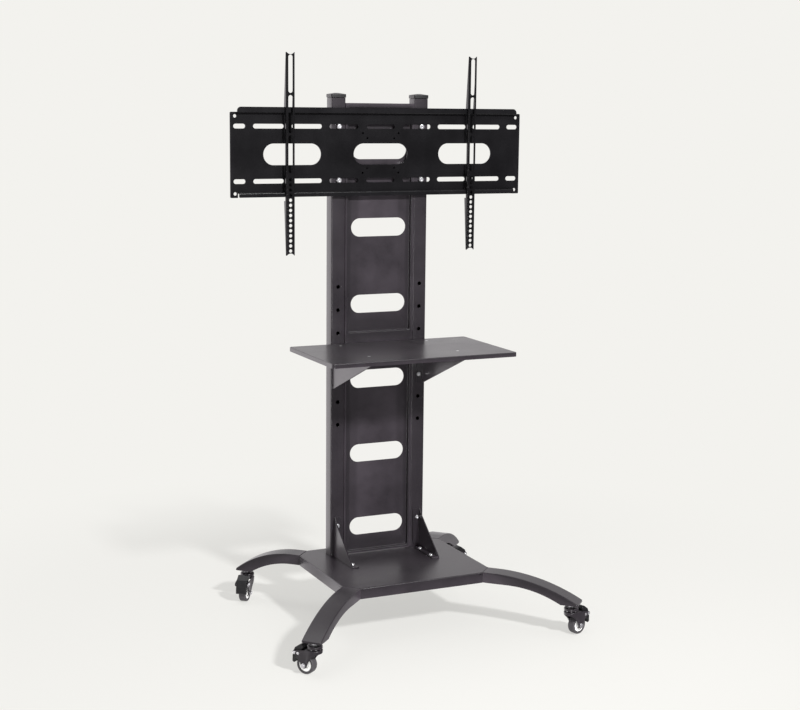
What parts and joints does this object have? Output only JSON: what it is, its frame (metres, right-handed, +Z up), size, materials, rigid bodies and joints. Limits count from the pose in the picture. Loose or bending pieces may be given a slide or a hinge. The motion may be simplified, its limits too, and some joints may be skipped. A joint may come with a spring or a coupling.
{
  "type": "mobile tv stand",
  "caption": "Wheeled stand: a twin-tube column on a curved-leg base with braked casters carries a shelf and a slotted plate with sliding screen arms.",
  "frame": {"origin": "on the floor, at the middle of the stand's footprint", "axes": "+Z up, +X to the right of someone who looks at the screen, -Y towards that person"},
  "size_m": [0.807, 0.6656, 1.442],
  "materials": {
    "frame_black": "satin powder coat",
    "plastic_black": "fine grained moulding",
    "plastic_white": "smooth moulding",
    "rubber_grey": "matt tread",
    "zinc_bright": "bright zinc plate"
  },
  "bodies": {
    "stand": {"base_plate": "frame_black", "leg_front_left": "frame_black", "leg_front_right": "frame_black", "leg_rear_left": "frame_black", "leg_rear_right": "frame_black", "upright_left": "frame_black", "upright_right": "frame_black", "column_panel_lower": "frame_black", "column_panel_upper": "frame_black", "foot_gusset_left": "frame_black", "foot_gusset_right": "frame_black", "shelf": "frame_black", "shelf_bracket_left": "frame_black", "shelf_bracket_right": "frame_black", "mount_plate": "frame_black", "upright_cap_left": "plastic_black", "upright_cap_right": "plastic_black", "mount_plate_bolt_upper_left": "zinc_bright", "mount_plate_bolt_upper_right": "zinc_bright", "mount_plate_bolt_lower_left": "zinc_bright", "mount_plate_bolt_lower_right": "zinc_bright", "caster_stem_front_left": "zinc_bright", "caster_cup_front_left": "frame_black", "caster_stem_front_right": "zinc_bright", "caster_cup_front_right": "frame_black", "caster_stem_rear_left": "zinc_bright", "caster_cup_rear_left": "frame_black", "caster_stem_rear_right": "zinc_bright", "caster_cup_rear_right": "frame_black"},
    "swivel_front_left": {"caster_fork_front_left": "frame_black", "caster_ball_cage_front_left": "zinc_bright", "caster_axle_front_left": "zinc_bright", "caster_brake_pin_front_left": "zinc_bright"},
    "wheel_front_left": {"caster_rim_front_left": "plastic_white", "caster_tyre_front_left": "rubber_grey"},
    "brake_front_left": {"caster_brake_pedal_front_left": "plastic_black"},
    "swivel_front_right": {"caster_fork_front_right": "frame_black", "caster_ball_cage_front_right": "zinc_bright", "caster_axle_front_right": "zinc_bright", "caster_brake_pin_front_right": "zinc_bright"},
    "wheel_front_right": {"caster_rim_front_right": "plastic_white", "caster_tyre_front_right": "rubber_grey"},
    "brake_front_right": {"caster_brake_pedal_front_right": "plastic_black"},
    "swivel_rear_left": {"caster_fork_rear_left": "frame_black", "caster_ball_cage_rear_left": "zinc_bright", "caster_axle_rear_left": "zinc_bright", "caster_brake_pin_rear_left": "zinc_bright"},
    "wheel_rear_left": {"caster_rim_rear_left": "plastic_white", "caster_tyre_rear_left": "rubber_grey"},
    "brake_rear_left": {"caster_brake_pedal_rear_left": "plastic_black"},
    "swivel_rear_right": {"caster_fork_rear_right": "frame_black", "caster_ball_cage_rear_right": "zinc_bright", "caster_axle_rear_right": "zinc_bright", "caster_brake_pin_rear_right": "zinc_bright"},
    "wheel_rear_right": {"caster_rim_rear_right": "plastic_white", "caster_tyre_rear_right": "rubber_grey"},
    "brake_rear_right": {"caster_brake_pedal_rear_right": "plastic_black"},
    "tv_arm_left": {"tv_arm_left": "frame_black"},
    "tv_arm_right": {"tv_arm_right": "frame_black"}
  },
  "joints": [
    {"name": "caster_swivel_front_left", "type": "hinge", "parent": "stand", "child": "swivel_front_left", "pos_m": [-0.34739, -0.29917, 0.0624], "axis": [0, 0, 1], "continuous": true},
    {"name": "wheel_spin_front_left", "type": "hinge", "parent": "swivel_front_left", "child": "wheel_front_left", "pos_m": [-0.36001, -0.28115, 0.023], "axis": [-0.8192, -0.5736, 0], "continuous": true},
    {"name": "brake_pedal_front_left", "type": "hinge", "parent": "swivel_front_left", "child": "brake_front_left", "pos_m": [-0.36805, -0.26967, 0.05099], "axis": [-0.8192, -0.5736, 0], "range_deg": [0, 7.5]},
    {"name": "caster_swivel_front_right", "type": "hinge", "parent": "stand", "child": "swivel_front_right", "pos_m": [0.34739, -0.29917, 0.0624], "axis": [0, 0, 1], "continuous": true},
    {"name": "wheel_spin_front_right", "type": "hinge", "parent": "swivel_front_right", "child": "wheel_front_right", "pos_m": [0.36843, -0.29274, 0.023], "axis": [-0.2924, 0.9563, 0], "continuous": true},
    {"name": "brake_pedal_front_right", "type": "hinge", "parent": "swivel_front_right", "child": "brake_front_right", "pos_m": [0.38183, -0.28864, 0.05099], "axis": [-0.2924, 0.9563, 0], "range_deg": [0, 7.5]},
    {"name": "caster_swivel_rear_left", "type": "hinge", "parent": "stand", "child": "swivel_rear_left", "pos_m": [-0.30285, 0.29917, 0.0624], "axis": [0, 0, 1], "continuous": true},
    {"name": "wheel_spin_rear_left", "type": "hinge", "parent": "swivel_rear_left", "child": "wheel_rear_left", "pos_m": [-0.31639, 0.28183, 0.023], "axis": [0.788, -0.6157, 0], "continuous": true},
    {"name": "brake_pedal_rear_left", "type": "hinge", "parent": "swivel_rear_left", "child": "brake_rear_left", "pos_m": [-0.32502, 0.27079, 0.05099], "axis": [0.788, -0.6157, 0], "range_deg": [0, 7.5]},
    {"name": "caster_swivel_rear_right", "type": "hinge", "parent": "stand", "child": "swivel_rear_right", "pos_m": [0.30285, 0.29917, 0.0624], "axis": [0, 0, 1], "continuous": true},
    {"name": "wheel_spin_rear_right", "type": "hinge", "parent": "swivel_rear_right", "child": "wheel_rear_right", "pos_m": [0.32476, 0.30109, 0.023], "axis": [-0.0872, 0.9962, 0], "continuous": true},
    {"name": "brake_pedal_rear_right", "type": "hinge", "parent": "swivel_rear_right", "child": "brake_rear_right", "pos_m": [0.33872, 0.30231, 0.05099], "axis": [-0.0872, 0.9962, 0], "range_deg": [0, 7.5]},
    {"name": "tv_arm_left_slide", "type": "slide", "parent": "stand", "child": "tv_arm_left", "axis": [1, 0, 0], "range_m": [-0.12, 0.22]},
    {"name": "tv_arm_right_slide", "type": "slide", "parent": "stand", "child": "tv_arm_right", "axis": [1, 0, 0], "range_m": [-0.22, 0.12]}
  ]
}
